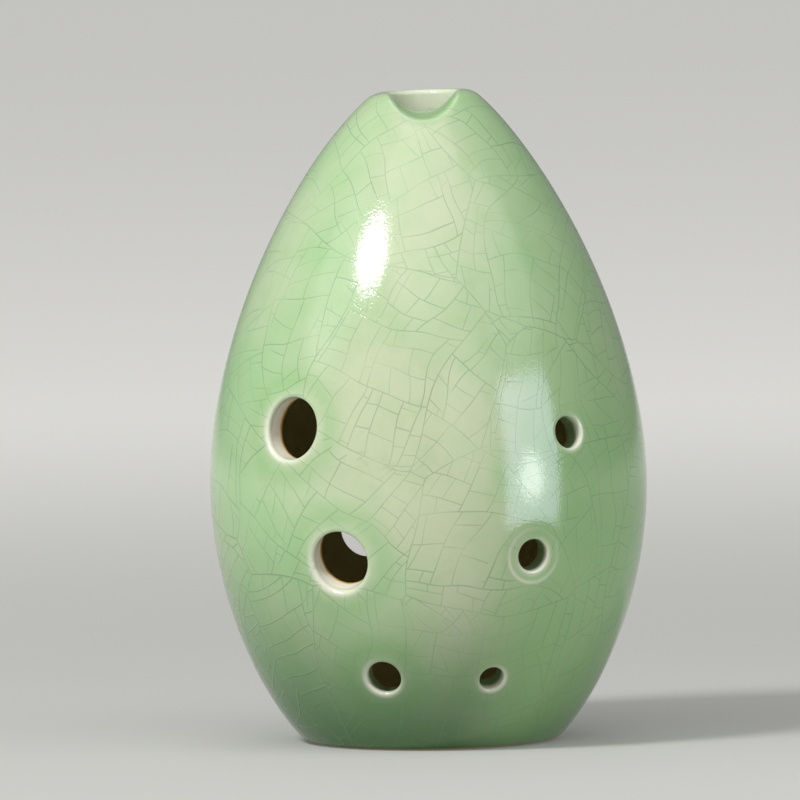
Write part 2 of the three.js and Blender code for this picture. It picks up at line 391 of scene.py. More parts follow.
def select_where(piece, test):
    """In edit mode, selects just the points that pass a test, with the edges between them."""
    mesh = bmesh.from_edit_mesh(piece.data)
    bpy.ops.mesh.select_mode(type="VERT")
    bpy.ops.mesh.select_all(action="DESELECT")
    for vertex in mesh.verts:
        if test(vertex):
            vertex.select_set(True)
    mesh.select_flush(True)
    bmesh.update_edit_mesh(piece.data)


def draw_outline(name, outline):
    """Draws an outline in the plane of X and Z, one extruded point after another."""
    deselect()
    bpy.ops.mesh.primitive_plane_add(size=MM, location=(0, 0, 0))
    piece = bpy.context.object
    piece.name = piece.data.name = name
    bpy.ops.object.mode_set(mode="EDIT")
    bpy.ops.mesh.merge(type="CENTER")
    places = [Vector((point.x, 0, point.y)) for point in outline]
    bpy.ops.transform.translate(value=places[0])
    for start, end in zip(places, places[1:]):
        bpy.ops.mesh.extrude_region_move(TRANSFORM_OT_translate={"value": end - start})
    return piece


def spin_outline(piece, steps):
    """Spins the drawn outline round Z and closes its seam and poles."""
    bpy.ops.mesh.select_all(action="SELECT")
    bpy.ops.mesh.spin(steps=steps, angle=math.tau, center=(0, 0, 0), axis=(0, 0, 1))
    bpy.ops.mesh.select_all(action="SELECT")
    bpy.ops.mesh.remove_doubles(threshold=MERGE)
    bpy.ops.mesh.normals_make_consistent(inside=False)


def cut_ring(piece, bore, glaze):
    """Opens the skin at a hole: clears the points there, joins a circle to the gap, and extrudes
    it ring by ring over the lip into the bore."""
    rings = bore.rings(glaze)
    outer = rings[0][0]
    clear = outer + 0.8 * MM  # the skin's points nearer than this are cleared
    joined = outer + 3.2 * MM  # the rim of the gap that they leave lies within this

    def at_gap(vertex):
        open_edge = any(edge.is_boundary or edge.is_wire for edge in vertex.link_edges)
        return open_edge and bore.reach(vertex.co) < joined

    select_where(piece, lambda vertex: bore.reach(vertex.co) < clear)
    bpy.ops.mesh.delete(type="VERT")
    corners = 72 if bore.radius > LARGE_BORE else 56
    bpy.ops.mesh.select_all(action="DESELECT")
    bpy.ops.mesh.primitive_circle_add(
        vertices=corners,
        radius=outer,
        fill_type="NOTHING",
        location=bore.seat,
        rotation=bore.facing,
    )
    settle(piece, bore, rings[0])
    select_where(piece, at_gap)
    bpy.ops.mesh.bridge_edge_loops()
    select_where(piece, lambda vertex: on_ring(bore, vertex, outer))
    for ring in rings[1:]:
        bpy.ops.mesh.extrude_region_move()
        settle(piece, bore, ring)


def on_ring(bore, vertex, radius):
    """Whether a point lies on the open ring at this distance from the bore's axis."""
    return abs(bore.reach(vertex.co) - radius) < ON_RING and vertex.is_boundary


def settle(piece, bore, ring):
    """Moves the selected points on to a ring: each keeps its turn about the bore's axis."""
    mesh = bmesh.from_edit_mesh(piece.data)
    for vertex in mesh.verts:
        if vertex.select:
            _, turn, _ = bore.reach_and_turn(vertex.co)
            vertex.co = bore.spot(ring[0], turn, ring[1])
    bmesh.update_edit_mesh(piece.data)


def store(mesh, name, values):
    """Keeps one number for each point, which a material reads by name."""
    attribute = mesh.attributes.new(name, "FLOAT", "POINT")
    attribute.data.foreach_set("value", values)


def apply_modifier(piece, kind, **settings):
    """Adds a modifier with its settings and applies it."""
    pick(piece)
    modifier = piece.modifiers.new(kind.title(), kind)
    for name, value in settings.items():
        setattr(modifier, name, value)
    bpy.ops.object.modifier_apply(modifier=modifier.name)


def smooth(piece, degrees):
    """Shades a piece smooth, but for edges that turn by more than this."""
    pick(piece)
    bpy.ops.object.shade_smooth_by_angle(angle=math.radians(degrees))


def dress(piece, node, materials):
    """Gives a finished piece its materials, hides the CAD node that it stands for, and hangs it on
    the body's root.
    """
    piece.data.materials.clear()  # a cutter leaves an empty one behind
    for material in materials:
        piece.data.materials.append(material)
    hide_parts(node)
    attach(piece, "root")


def glaze_marks(egg, bores, mesh):
    """Keeps five shares for each point: how thin the glaze drew off an edge, with painted highlight
    on lit lips and painted light down the throat; how thick it ran, with painted shade down the
    right; how much painted shade, with some gathered glaze, darkens the foot; how yellow it is up
    the front; and how far its cracks curled up.
    The turn is in degrees from the front, and below zero on the left."""
    s = egg.sizes
    marks = []
    for vertex in mesh.vertices:
        x, y, z = vertex.co
        turn = math.degrees(math.atan2(x, -y))
        # Painted shade darkens the foot, with some glaze gathered there: higher up on the left, and
        # less on the right
        foot_shade_share = 1 - 0.55 * ease(turn, 5, 40) * (1 - ease(turn, 90, 150))
        foot_shade_top = (34 + 9 * ease(-turn, 15, 50)) * MM
        foot = (1 - ease(z, -4 * MM, foot_shade_top)) * foot_shade_share
        # Cracks curled up on the lower left side
        ridge = ease(-turn, 20, 38) * (1 - ease(-turn, 130, 160))
        ridge *= 1 - ease(z, 35 * MM, 50 * MM)
        # Yellower up the front, and less so at both ends
        yellowed = 1 - ease(turn, 8, 38) if turn > 0 else 1 - ease(-turn, 9, 44)
        fall = (0.35 + 0.65 * ease(z, 8 * MM, 50 * MM)) * (1 - 0.3 * ease(z, 60 * MM, 95 * MM))
        blush = 0.72 * yellowed * fall
        # It ran thicker down the right side, and this greener glaze is also painted shade there,
        # more of it towards the bottom
        run_and_shade = 0.12 + 0.3 * (1 - ease(z, 50 * MM, 90 * MM))
        run_and_shade += 0.3 * (1 - ease(z, 15 * MM, 50 * MM))
        pool = run_and_shade * ease(turn, 4, 36) * (1 - ease(turn, 80, 120))
        # It drew thin over the rim; the throat's wall is painted paler, as painted light for the
        # light and reflections that it lacks; and it is greener along the notch's edge
        thin = 0.0
        edge = math.hypot(x, y) - s.blow_hole - s.blow_lip
        if z > s.height - 3 * s.throat:
            below = egg.pressed(x, y, egg.lip_top) - z if edge < 0 else edge
            thin = 0.3 * (1 - ease(below, 0.2 * MM, 1.5 * MM))
            if edge < -0.5 * s.blow_lip:
                thin = 0.62 * (1 - ease(below, 2 * MM, 7 * MM))
            notch = egg.notch_height(x, y)
            if notch is not None:
                apart = abs(notch - z) if edge > 0 else 1
                pool = max(pool, 0.7 * (1 - ease(apart, 0.1 * MM, 0.9 * MM)))
        # It drew thin over each hole's lip and the dish's rim, and pooled in a ring outside; each
        # lip is also painted paler on its lit side, as a painted highlight
        for bore in bores:
            reach, turn_at, along = bore.reach_and_turn(vertex.co)
            if reach > bore.radius + 9 * MM or abs(along) > 9 * MM:
                continue
            gap = reach - bore.radius - bore.lip
            lit_side = 0.5 + 0.5 * math.cos(turn_at - bore.lit_lip_turn)
            drawn = (0.08 + 0.77 * lit_side) * (1 - ease(gap, -bore.lip, 0.7 * MM))
            thin = max(thin, drawn)
            ring = ease(gap, 0.2 * MM, 1.6 * MM) * (1 - ease(gap, 2 * MM, 6 * MM))
            pool = max(pool, 0.4 * ring)
            if bore.dish[0]:
                rim = 1 - ease(abs(reach - bore.dish[0]), 0, 0.5 * MM)
                # Painted highlight on the dish's rim, brightest on its lower left
                lit = 0.5 + 0.5 * math.cos(turn_at + math.radians(125))
                thin = max(thin, (0.08 + 0.5 * lit) * rim)
        marks.append((thin, pool, foot, blush, ridge))
    for name, shares in zip(MARKS, zip(*marks)):
        store(mesh, name, shares)


def add_node(tree, kind, sockets=None, **settings):
    """Adds a shader node. Each socket gets a value, or is fed: by another node's output, or by
    a node, which stands for its first output."""
    node = tree.nodes.new("ShaderNode" + kind)
    for name, value in settings.items():
        setattr(node, name, value)
    for name, value in (sockets or {}).items():
        if isinstance(value, bpy.types.Node):
            value = value.outputs[0]
        if isinstance(value, bpy.types.NodeSocket):
            tree.links.new(value, node.inputs[name])
        else:
            node.inputs[name].default_value = value
    return node


def new_material(name):
    """An empty material, what adds a node to it, and the place on the object in millimetres."""
    material = bpy.data.materials.new(name)
    material.use_nodes = True
    material.node_tree.nodes.clear()
    add = partial(add_node, material.node_tree)
    place = add("TexCoord").outputs["Object"]
    return material, add, add("VectorMath", {0: place, "Scale": 1 / MM}, operation="SCALE")


def opaque(rgb):
    """A colour with its fourth number, as the sockets want it."""
    return (*rgb, 1)


def unevenness(add, place, waves):
    """Height in millimetres of a surface that several noises make uneven. Each has its length,
    its detail and its height."""
    height = 0.0
    for wave, detail, rise in waves:
        noise = {"Vector": place, "Scale": 1 / wave, "Detail": detail}
        height = {0: add("TexNoise", noise), 1: rise, 2: height}
        height = add("Math", height, operation="MULTIPLY_ADD")
    return height


def crackle(add, place):
    """Cracks in a glaze that shrank more than its clay. The first cracks left wide plates. Each
    later set runs across a piece that the earlier ones left, and stops at them, so that most
    cells have four sides. Returns the stain's strength and the depth of the crack's edges.
    All lengths are in millimetres."""
    plate, bands = 27.0, (10.5, 8.5, 4.3, 3.5)  # spacing of the plates and of each later set
    normal = add("NewGeometry").outputs["Normal"]

    def sway(start, wave, reach):
        """A place moved about by a noise with waves of this length."""
        noise = add("TexNoise", {"Vector": place, "Scale": 1 / wave, "Detail": 0.0})
        swing = add("VectorMath", {0: noise.outputs["Color"], 1: HALVES}, operation="SUBTRACT")
        moved = {0: swing, 1: (reach, reach, reach), 2: start}
        return add("VectorMath", moved, operation="MULTIPLY_ADD")

    def along_way(vector, way):
        """How far a vector reaches along a direction."""
        return add("VectorMath", {0: vector, 1: way}, operation="DOT_PRODUCT").outputs["Value"]

    def sine_at_skin(across):
        """A distance through space, over this, is the distance on the skin, which a crack with
        this normal may cut aslant."""
        dot = along_way(across, normal)
        square = add("Math", {0: dot, 1: dot}, operation="MULTIPLY")
        rest = add("Math", {0: 1.0, 1: square}, operation="SUBTRACT")
        sine = add("Math", {0: rest, 1: 0.5}, operation="POWER")
        return add("Math", {0: sine, 1: 0.2}, operation="MAXIMUM")

    bent = sway(place, 20, 7)
    cell = {"Vector": bent, "Scale": 1 / plate, "Randomness": 0.9}
    nearest = add("TexVoronoi", cell)
    second = add("TexVoronoi", cell, feature="F2").outputs["Position"]
    middle = nearest.outputs["Position"]
    lots = add("SeparateColor", {0: nearest.outputs["Color"]}).outputs

    # Where two plates meet: the plane halfway between their middles
    step = add("VectorMath", {0: second, 1: middle}, operation="SUBTRACT")
    across = add("VectorMath", {0: step}, operation="NORMALIZE")
    halfway = add("VectorMath", {0: step, 1: HALVES, 2: middle}, operation="MULTIPLY_ADD")
    offset = add("VectorMath", {0: halfway, 1: bent}, operation="SUBTRACT")
    far_plate = along_way(offset, across)
    plate_sine = sine_at_skin(across)

    # Each plate has two directions along the skin, turned by its own angle. The way out of the
    # pot is reckoned from the middle of the belly, with heights counted less.
    less = 0.45
    outward = {0: middle, 1: (1, 1, less), 2: (0, 0, -less * BELLY)}
    outward = add("VectorMath", outward, operation="MULTIPLY_ADD")
    outward = add("VectorMath", {0: outward}, operation="NORMALIZE")
    level = add("VectorMath", {0: UP, 1: outward}, operation="CROSS_PRODUCT")
    level = add("VectorMath", {0: level}, operation="NORMALIZE")
    heading = add("Math", {0: lots[0], 1: math.tau}, operation="MULTIPLY")
    turned = {"Vector": level, "Axis": outward, "Angle": heading}
    first_way = add("VectorRotate", turned, rotation_type="AXIS_ANGLE")
    second_way = add("VectorMath", {0: outward, 1: first_way}, operation="CROSS_PRODUCT")
    inside = add("VectorMath", {0: sway(bent, 8, 2.2), 1: middle}, operation="SUBTRACT")
    run, rise = along_way(inside, first_way), along_way(inside, second_way)

    # A plate's own cracks bow a little
    square = add("Math", {0: rise, 1: rise}, operation="MULTIPLY")
    bow = add("Math", {0: lots[2], 1: 0.5}, operation="SUBTRACT")
    bow = add("Math", {0: bow, 1: 0.06}, operation="MULTIPLY")
    run = add("Math", {0: square, 1: bow, 2: run}, operation="MULTIPLY_ADD")

    def split(along, aside, lot, spacing, slant):
        """Cracks at uneven steps along a piece. Returns the distance to the nearest, a number
        for the strip between two, and a number for the crack itself."""
        apart = 977.0  # gives each piece a stretch of the pattern of its own
        tilt = add("Math", {0: lot, 1: 0.5}, operation="SUBTRACT")
        tilt = add("Math", {0: tilt, 1: slant}, operation="MULTIPLY")
        skewed = add("Math", {0: aside, 1: tilt, 2: along}, operation="MULTIPLY_ADD")
        shifted = add("Math", {0: lot, 1: apart, 2: skewed}, operation="MULTIPLY_ADD")
        steps = {"W": shifted, "Scale": 1 / spacing, "Randomness": 0.6}
        edge, here, there = (
            add("TexVoronoi", steps, voronoi_dimensions="1D", feature=feature).outputs
            for feature in ("DISTANCE_TO_EDGE", "F1", "F2")
        )
        far = add("Math", {0: edge["Distance"], 1: spacing}, operation="MULTIPLY")
        own = add("SeparateColor", {0: here["Color"]})
        both = add("Math", {0: here["W"], 1: there["W"]}, operation="ADD")
        crack = add("TexWhiteNoise", {"W": both}, noise_dimensions="1D")
        mixed = add("CombineXYZ", {0: lot, 1: own})
        strip = add("TexWhiteNoise", {"Vector": mixed}, noise_dimensions="3D")
        return far, strip.outputs["Value"], crack.outputs["Value"]

    def either(which, a, b):
        """One of two numbers, as a lot falls."""
        high = add("Math", {0: which, 1: 0.5}, operation="GREATER_THAN")
        return add("Mix", {0: high, 2: a, 3: b}, data_type="FLOAT")

    def clear_of(neighbour):
        """A crack dies out where an older one runs close beside it."""
        ranges = {"Value": neighbour, "From Min": 0.6, "From Max": 1.3}
        return add("MapRange", ranges, interpolation_type="SMOOTHSTEP")

    far_run, strip, _ = split(run, rise, lots[1], bands[0], 0.0)
    far_rise, block, _ = split(rise, run, strip, bands[1], 0.7)
    along, aside = either(block, run, rise), either(block, rise, run)
    far_tile, tile, _ = split(along, aside, block, bands[2], 0.6)
    far_rung, _, crack = split(aside, along, tile, bands[3], 0.8)
    rows = (
        (far_plate, plate_sine),
        (far_run, sine_at_skin(first_way)),
        (far_rise, sine_at_skin(second_way)),
    )
    gaps = [add("Math", {0: far, 1: sine}, operation="DIVIDE") for far, sine in rows]
    gaps += [far_tile, far_rung]

    # What is left of each set: a plate's edge fades where it runs along the skin, and a third
    # of the last set never cracked
    whole = {"Value": plate_sine, "From Min": 0.25, "From Max": 0.5}
    whole = add("MapRange", whole, interpolation_type="SMOOTHSTEP")
    kept = add("Math", {0: crack, 1: 0.35}, operation="GREATER_THAN")
    tiles = clear_of(either(block, far_run, far_rise))
    rungs = clear_of(either(block, far_rise, far_run))
    rungs = add("Math", {0: rungs, 1: kept}, operation="MULTIPLY")
    strengths, shares = (0.72, 0.72, 0.7, 0.65, 0.55), (whole, None, None, tiles, rungs)

    # Real cracks are some 0.05 mm wide, too fine to show. Here the stain is drawn 0.15 to 0.2 mm
    # wide, and the edges that bend the gloss twice that.
    made = []
    for near, reach in ((0.03, 0.13), (0.0, 0.24)):
        most = None
        for gap, strength, share in zip(gaps, strengths, shares):
            ranges = {"Value": gap, "From Min": near, "From Max": reach}
            ranges |= {"To Min": strength, "To Max": 0.0}
            mark = add("MapRange", ranges, interpolation_type="SMOOTHSTEP")
            if share is not None:
                mark = add("Math", {0: mark, 1: share}, operation="MULTIPLY")
            if most is not None:
                mark = add("Math", {0: most, 1: mark}, operation="MAXIMUM")
            most = mark
        made.append(most)
    return made


def celadon_glaze(colours):
    """Celadon: a thick lime glaze, dipped and fired glossy over pale clay. The eye sees a soft
    green with yellower clouds, white edges where it drew thin, fine crackle and a wet gloss.
    Painted shade darkens its foot and right side, and painted highlight whitens the lit side of its
    lips and its throat."""
    material, add, place = new_material("celadon_crackle_glaze")
    stain, edge = crackle(add, place)
    thin, pool, foot, blush, ridge = (
        add("Attribute", attribute_name=name).outputs["Fac"] for name in MARKS
    )

    # Clouds where the kiln's air turned the glaze yellower, 20 to 30 mm across
    cloud = {"Vector": place, "Scale": 1 / 28, "Detail": 2.0, "Roughness": 0.5}
    cloud = {"Value": add("TexNoise", cloud), "From Min": 0.38, "From Max": 0.64}
    cloud = add("MapRange", cloud, interpolation_type="SMOOTHSTEP")
    cloud = add("Math", {0: cloud, 1: 0.55, 2: blush}, operation="MULTIPLY_ADD")
    cloud = add("Math", {0: cloud, 1: 1.0}, operation="MINIMUM")

    # Mottles where it lies a little thicker, some 5 mm across
    mottle = {"Vector": place, "Scale": 1 / 5, "Detail": 3.0, "Roughness": 0.6}
    mottle = {"Value": add("TexNoise", mottle), "From Min": 0.45, "From Max": 0.75}
    mottle = add("MapRange", mottle | {"To Max": 0.22})

    # The stain in the cracks is fainter in places, and where their edges curled up
    fade = add("TexNoise", {"Vector": place, "Scale": 1 / 9, "Detail": 2.0})
    fade = {"Value": fade, "From Min": 0.35, "From Max": 0.65, "To Min": 0.25, "To Max": 0.78}
    fade = add("MapRange", fade)
    paler = add("Math", {0: ridge, 1: -0.15, 2: 1.0}, operation="MULTIPLY_ADD")
    for share in (fade, paler):
        stain = add("Math", {0: stain, 1: share}, operation="MULTIPLY")

    # Yellow specks of iron, half a millimetre across and some 11 mm apart
    speck = add("TexVoronoi", {"Vector": place, "Scale": 1 / 11, "Randomness": 1.0})
    speck = {"Value": speck.outputs["Distance"], "From Min": 0.012, "From Max": 0.03}
    speck = add("MapRange", speck | {"To Min": 0.7, "To Max": 0.0})

    body = opaque(colours.glaze)
    # The pool and foot layers also lay painted shade, and the thin layer lays painted highlight and
    # painted light
    layers = (
        (cloud, colours.cream),
        (mottle, colours.pool),
        (pool, colours.pool),
        (foot, colours.foot),
        (stain, colours.crackle),
        (speck, colours.speck),
        (thin, colours.thin),
    )
    for share, tint in layers:
        body = add("Mix", {0: share, 6: body, 7: opaque(tint)}, data_type="RGBA").outputs[2]

    # A slow waviness, the orange peel of the gloss and its fine grain
    waves = ((11, 0.0, 0.05), (1.6, 2.0, 0.006), (0.3, 1.0, 0.018))
    height = unevenness(add, place, waves)
    # Cracks are a little sunk, but low on the left their edges curled up in the fire
    relief = add("Math", {0: ridge, 1: 0.1, 2: -0.008}, operation="MULTIPLY_ADD")
    height = add("Math", {0: edge, 1: relief, 2: height}, operation="MULTIPLY_ADD")
    bump = add("Bump", {"Height": height, "Distance": MM, "Strength": 1.0})
    surface = {"Base Color": body, "Roughness": 0.09, "IOR": 1.6, "Normal": bump}
    add("OutputMaterial", {"Surface": add("BsdfPrincipled", surface)})
    return material


def bore_wall(colours):
    """Pale clay under a thin clear skin of glaze, cut with a tube. The eye sees a wet cream wall,
    browned at its inner edge, and green where glaze ran into a small hole, its dark green partly
    painted shade."""
    material, add, place = new_material("thinly_glazed_bore_wall")
    depth = add("Attribute", attribute_name="depth").outputs["Fac"]
    small = add("Attribute", attribute_name="small").outputs["Fac"]
    big = add("Math", {0: small, 1: -0.7, 2: 1.0}, operation="MULTIPLY_ADD")
    drag = add("TexNoise", {"Vector": place, "Scale": 1 / 1.4, "Detail": 3.0})
    uneven = add("Math", {0: drag, 1: 0.5}, operation="SUBTRACT")
    level = add("Math", {0: uneven, 1: 0.5, 2: depth}, operation="MULTIPLY_ADD")
    body = opaque(colours.wall)
    # Each layer sets in between two depths in millimetres, and has its share and its colour
    layers = ((0.7, 1.9, small, colours.well), (3.1, 3.6, big, colours.toast))
    for start, end, share, tint in layers:
        sunk = {"Value": level, "From Min": start, "From Max": end}
        sunk = add("MapRange", sunk, interpolation_type="SMOOTHSTEP")
        sunk = add("Math", {0: sunk, 1: share}, operation="MULTIPLY")
        body = add("Mix", {0: sunk, 6: body, 7: opaque(tint)}, data_type="RGBA").outputs[2]
    bump = add("Bump", {"Height": drag, "Distance": 0.05 * MM, "Strength": 1.0})
    surface = {"Base Color": body, "Roughness": 0.22, "IOR": 1.5, "Normal": bump}
    add("OutputMaterial", {"Surface": add("BsdfPrincipled", surface)})
    return material


def bare_clay(colours, name, tint):
    """Stoneware clay, thrown or pinched and left bare: matt, buff to brown, with a fine grit."""
    material, add, place = new_material(name)
    blotch = {"Vector": place, "Scale": 1 / 9, "Detail": 4.0, "Roughness": 0.6}
    blotch = {"Value": add("TexNoise", blotch), "From Min": 0.3, "From Max": 0.7}
    blotch = add("MapRange", blotch | {"To Min": 0.0, "To Max": 0.18})
    body = {0: blotch, 6: opaque(tint), 7: opaque(colours.toast)}
    body = add("Mix", body, data_type="RGBA").outputs[2]
    # Tool marks and grit
    height = unevenness(add, place, ((4, 1.0, 0.5), (0.35, 2.0, 0.05)))
    bump = add("Bump", {"Height": height, "Distance": MM, "Strength": 1.0})
    surface = {"Base Color": body, "Roughness": 0.85, "IOR": 1.5, "Normal": bump}
    add("OutputMaterial", {"Surface": add("BsdfPrincipled", surface)})
    return material


def matt_floor(colours):
    """A matt paper sweep lit evenly to the horizon: the far paper glows as a lit sweep does."""
    material, add, place = new_material("matt_paper_sweep")
    far = add("VectorMath", {0: place}, operation="LENGTH").outputs["Value"]
    glow = {"Value": far, "From Min": 150, "From Max": 1000, "To Min": 0.16, "To Max": 0.85}
    glow = add("MapRange", glow, interpolation_type="SMOOTHSTEP")
    surface = {"Base Color": opaque(colours.floor), "Roughness": 0.9}
    surface |= {"Emission Color": opaque(colours.floor), "Emission Strength": glow}
    add("OutputMaterial", {"Surface": add("BsdfPrincipled", surface)})
    return material


class XUN_OT_glaze_coat(bpy.types.Operator):
    """Spins the glazed skin, presses the notch, opens the holes and gives the skin thickness"""

    bl_idname = "xun.glaze_coat"
    bl_label = "Glaze coat"
    bl_options = {"REGISTER", "UNDO"}

    def execute(self, context):
        s = context.scene.xun_sizes
        egg = Egg(s)
        wipe = math.asin((s.glaze_line - s.foot_corner) / s.foot_corner)
        spots = egg.foot_arc(wipe, 9)
        spots += egg.flank(egg.foot_z, s.belly_height, 42)[1:]
        spots += egg.flank(s.belly_height, egg.near_top, 48)[1:]
        spots += egg.flank(egg.near_top, egg.crown_z, 32)[1:]
        spots += egg.crown_arc(12)[1:] + egg.lip_arc(12)[1:]
        outline = [point for point, _ in spots]
        heights = [egg.lip_foot - step * MM for step in (1, 2, 3.5)] + [egg.throat_foot]
        outline += [Vector((s.blow_hole, z)) for z in heights]
        piece = draw_outline("glaze_skin", outline)
        spin_outline(piece, s.segments)
        bores = [Bore(egg, hole) for hole in HOLES.values()]
        for bore in bores:
            cut_ring(piece, bore, s.glaze)
        bpy.ops.mesh.select_all(action="SELECT")
        bpy.ops.mesh.normals_make_consistent(inside=False)
        bpy.ops.object.mode_set(mode="OBJECT")
        belly = max(piece.data.polygons, key=lambda face: math.hypot(face.center.x, face.center.y))
        if belly.normal.x * belly.center.x + belly.normal.y * belly.center.y < 0:
            piece.data.flip_normals()
        egg.press_crown(piece.data)
        glaze_marks(egg, bores, piece.data)
        # A little thinner than the CAD's, so that it doesn't share a face with the clay
        thickness = 0.9 * s.glaze
        apply_modifier(piece, "SOLIDIFY", thickness=thickness, offset=-1, use_even_offset=False)
        smooth(piece, 50)
        glaze = celadon_glaze(context.scene.xun_colours)
        dress(piece, "glaze_coat", [glaze])
        return {"FINISHED"}


class XUN_OT_clay_bowls(bpy.types.Operator):
    """Spins the two clay bowls, presses the notch in the upper one and bores the holes"""

    bl_idname = "xun.clay_bowls"
    bl_label = "Clay bowls"
    bl_options = {"REGISTER", "UNDO"}

    def execute(self, context):
        s = context.scene.xun_sizes
        egg = Egg(s)
        colours = context.scene.xun_colours
        depth = egg.wall
        root = egg.groove_root
        groove_foot, groove_head = egg.groove_ends

        def cavity(low, high, steps):
            return [egg.inset(spot, depth) for spot in egg.flank(low, high, steps)]

        centre_z, centre_depth = s.floor + s.floor_corner, depth + s.floor_corner
        floor_z = egg.height_of_inset(centre_depth, centre_z, 0, s.belly_height)
        floor_spot = egg.spot(floor_z)
        floor_centre = egg.inset(floor_spot, centre_depth)
        floor_angle = math.atan2(floor_spot[1].y, floor_spot[1].x)
        floor_arc = arc(floor_centre, s.floor_corner, -math.pi / 2, floor_angle, 10)
        throat_radius = s.blow_hole + s.glaze
        ceiling = egg.throat_foot - s.ceiling_rise
        ceiling = egg.height_of_inset(depth, ceiling, s.belly_height, s.height)

        spots = egg.foot_arc(-math.pi / 2, 8) + egg.flank(egg.foot_z, s.belly_height, 24)[1:]
        bevel, foot_edge = 0.25 * MM, egg.foot_centre.x
        lower = [Vector((0, 0)), Vector((foot_edge - bevel, 0)), Vector((foot_edge, bevel))]
        lower += [egg.inset(spot, s.glaze) for spot in spots] + [root]
        lower += cavity(groove_foot, floor_z, 24)
        lower += [point for point, _ in reversed(floor_arc[:-1])] + [Vector((0, s.floor))]

        upper = [root]
        spots = egg.flank(s.belly_height, egg.near_top, 36)
        spots += egg.flank(egg.near_top, egg.crown_z, 24)[1:]
        spots += egg.crown_arc(8)[1:] + egg.lip_arc(6)[1:]
        upper += [egg.inset(spot, s.glaze) for spot in spots]
        for z in (egg.lip_foot - 2 * MM, egg.throat_foot):
            upper.append(Vector((throat_radius, z)))
        upper += cavity(ceiling, groove_head, 36) + [root]

        wall = bore_wall(colours)
        bores = [Bore(egg, hole) for hole in HOLES.values()]
        rows = (
            ("lower_bowl", lower, "lower_shell", "lower_clay", "bare_stoneware_lower"),
            ("upper_bowl", upper, "upper_shell", "upper_clay", "bare_stoneware_upper"),
        )
        for name, outline, node, slot, clay_name in rows:
            piece = draw_outline(name, outline)
            spin_outline(piece, 128)
            bpy.ops.object.mode_set(mode="OBJECT")
            above = name == "upper_bowl"
            if above:  # the clay's notch lies a quarter deeper than the glaze is thick
                egg.press_crown(piece.data, s.glaze * 1.25)
            here = [bore for bore in bores if (bore.seat.z > s.belly_height) == above]
            for bore in here:
                self.drill(piece, bore, 4 * depth)
            self.mark_walls(piece, here)
            clay = bare_clay(colours, clay_name, colours.clay)
            dress(piece, node, [clay, wall])
            self.pick_walls(piece, here)
            smooth(piece, 40)
        return {"FINISHED"}

    def drill(self, piece, bore, depth):
        """Bores one hole with a cutter that is added in place."""
        deselect()
        radius = bore.radius + LIP_COVER
        bpy.ops.mesh.primitive_cylinder_add(
            vertices=72, radius=radius, depth=depth, location=bore.seat, rotation=bore.facing
        )
        cutter = bpy.context.object
        apply_modifier(piece, "BOOLEAN", operation="DIFFERENCE", object=cutter, solver="MANIFOLD")
        bpy.data.objects.remove(cutter)

    def mark_walls(self, piece, bores):
        """Keeps each point's depth under the skin along its bore, in millimetres, and marks the
        small holes."""
        depths, small = [], []
        for vertex in piece.data.vertices:
            depth, is_small = 9.0, 0.0  # deeper than any wall
            for bore in bores:
                if abs(bore.reach(vertex.co) - bore.radius) < ON_WALL:
                    _, turn, along = bore.reach_and_turn(vertex.co)
                    skin = bore.spot(bore.radius, turn, 0)
                    depth = (bore.reach_and_turn(skin)[2] - along) / MM
                    is_small = float(bore.radius < LARGE_BORE)
            depths.append(depth)
            small.append(is_small)
        store(piece.data, "depth", depths)
        store(piece.data, "small", small)

    def pick_walls(self, piece, bores):
        """Gives the faces of the bores the second material."""
        for face in piece.data.polygons:
            for bore in bores:
                squarely = abs(face.normal.dot(bore.axis)) < 0.05
                if squarely and abs(bore.reach(face.center) - bore.radius) < ON_WALL:
                    face.material_index = 1


class XUN_OT_luting_coil(bpy.types.Operator):
    """Spins the coil of clay in the seam's groove and dents it as fingers do"""

    bl_idname = "xun.luting_coil"
    bl_label = "Luting coil"
    bl_options = {"REGISTER", "UNDO"}

    def execute(self, context):
        s = context.scene.xun_sizes
        egg = Egg(s)
        foot, head = (egg.inset(egg.spot(z), egg.wall) for z in egg.groove_ends)
        outline = [egg.groove_root, foot]
        steps = 8
        for i in range(1, steps):
            share = i / steps
            bulge = math.sin(share * math.pi) * s.coil_proud
            outline.append(foot.lerp(head, share) - Vector((bulge, 0)))
        outline += [head, egg.groove_root]
        piece = draw_outline("luting_band", outline)
        spin_outline(piece, 144)
        bpy.ops.object.mode_set(mode="OBJECT")
        for vertex in piece.data.vertices:
            x, y, z = vertex.co
            radius = math.hypot(x, y)
            if radius < foot.x - 0.02 * MM:
                turn = math.atan2(y, x)
                dent = 0.3 * MM * (0.5 + 0.5 * math.sin(31 * turn + 2 * math.sin(5 * turn)))
                scale = (radius + min(dent, foot.x - radius)) / radius
                vertex.co.x, vertex.co.y = x * scale, y * scale
        smooth(piece, 50)
        colours = context.scene.xun_colours
        slip = bare_clay(colours, "finger_smoothed_slip", colours.slip)
        dress(piece, "luting_coil", [slip])
        return {"FINISHED"}


